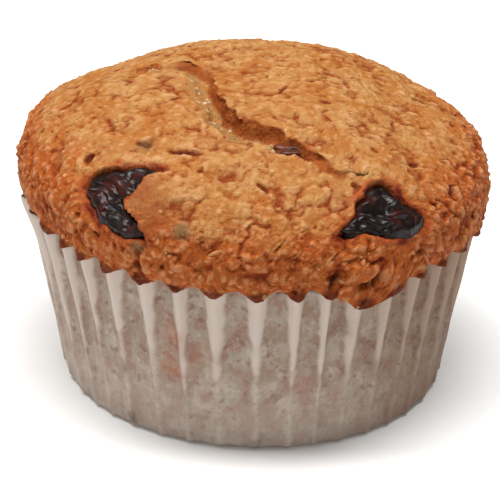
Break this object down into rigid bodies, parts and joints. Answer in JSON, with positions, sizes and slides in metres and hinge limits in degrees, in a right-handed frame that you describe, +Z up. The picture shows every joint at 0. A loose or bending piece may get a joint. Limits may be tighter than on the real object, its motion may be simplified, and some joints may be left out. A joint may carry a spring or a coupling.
{
  "type": "raisin muffin in paper case",
  "caption": "Raisin muffin with a cracked, domed crust in a pleated white paper baking case, standing on its flat base.",
  "frame": {"origin": "centre of the paper case's flat base, on the surface the muffin stands on", "axes": "+Z up; the side with the two large raisins and the overrun crust lump faces -Y, the lump towards +X"},
  "size_m": [0.0609, 0.0608, 0.0402],
  "materials": {
    "crust": "golden brown baked crust, crumbly and matt, with small glossy flecks",
    "paper": "white greaseproof paper, matt, mottled where it touches the cake",
    "raisin": "nearly black, wrinkled and glossy, dark red at thin edges"
  },
  "bodies": {
    "root": {"cake": "crust", "paper_case": "paper", "raisin_left": "raisin", "raisin_right": "raisin", "raisin_crack": "raisin"}
  },
  "joints": []
}
